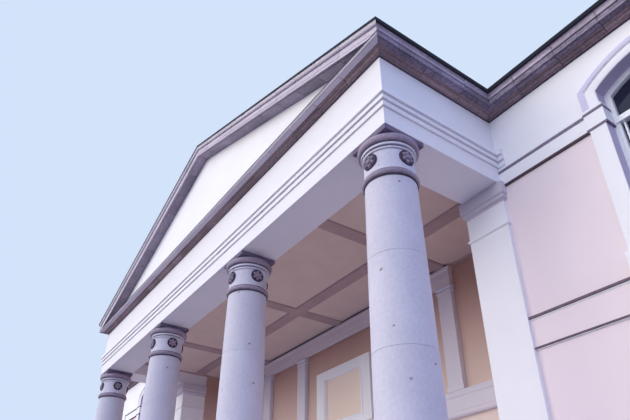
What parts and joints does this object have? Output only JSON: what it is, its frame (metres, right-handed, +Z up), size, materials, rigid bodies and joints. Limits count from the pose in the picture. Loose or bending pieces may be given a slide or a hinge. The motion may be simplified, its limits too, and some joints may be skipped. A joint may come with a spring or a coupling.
{
  "type": "courthouse",
  "caption": "Two-storey stucco courthouse with a pedimented stone-columned portico, recessed porch, stone cornice, arched upper windows and hipped slate roof.",
  "frame": {"origin": "middle of the whole building's plan, on the ground", "axes": "+Z up, -Y is the front with the portico, and +X is to the right as the front is looked at along +Y; the building is symmetric about X = 0"},
  "size_m": [27.008, 19.249, 12.8004],
  "materials": {
    "limestone": "dressed limestone, matt",
    "cornice_stone": "weathered dark limestone, matt",
    "stucco": "painted lime stucco, pale pink, matt",
    "white_stucco": "painted lime stucco, white, matt",
    "slate": "natural slate, matt",
    "ceiling_plaster": "painted plaster, matt",
    "sash_paint": "white gloss paint on timber",
    "window_glass": "clear window glass",
    "door_paint": "white painted timber",
    "floor_boards": "boarded timber"
  },
  "bodies": {
    "root": {"antae": "white_stucco", "column_bases": "limestone", "column_capitals": "limestone", "column_shaft_1": "limestone", "column_shaft_2": "limestone", "column_shaft_3": "limestone", "column_shaft_4": "limestone", "corner_pilasters": "white_stucco", "door_case": "door_paint", "door_light": "window_glass", "entablature": "white_stucco", "entrance_doors": "door_paint", "front_wall_left": "stucco", "front_wall_right": "stucco", "ground_floor": "floor_boards", "impost_band": "white_stucco", "lower_window_frames": "sash_paint", "lower_window_glass": "window_glass", "lower_window_surrounds": "white_stucco", "main_cornice": "cornice_stone", "over_door_panel": "white_stucco", "plinth": "limestone", "porch_back_wall": "stucco", "porch_order": "white_stucco", "porch_side_walls": "stucco", "portico_ceiling": "ceiling_plaster", "portico_platform": "limestone", "portico_roof_left": "slate", "portico_roof_right": "slate", "portico_steps": "limestone", "raking_cornice": "cornice_stone", "rear_wall": "stucco", "roof_back": "slate", "roof_front": "slate", "roof_left": "slate", "roof_right": "slate", "side_wall_left": "stucco", "side_wall_right": "stucco", "string_course": "white_stucco", "tympanum": "white_stucco", "upper_ceiling": "ceiling_plaster", "upper_floor": "floor_boards", "upper_window_frames": "sash_paint", "upper_window_glass": "window_glass", "upper_window_surrounds": "white_stucco"}
  },
  "joints": []
}
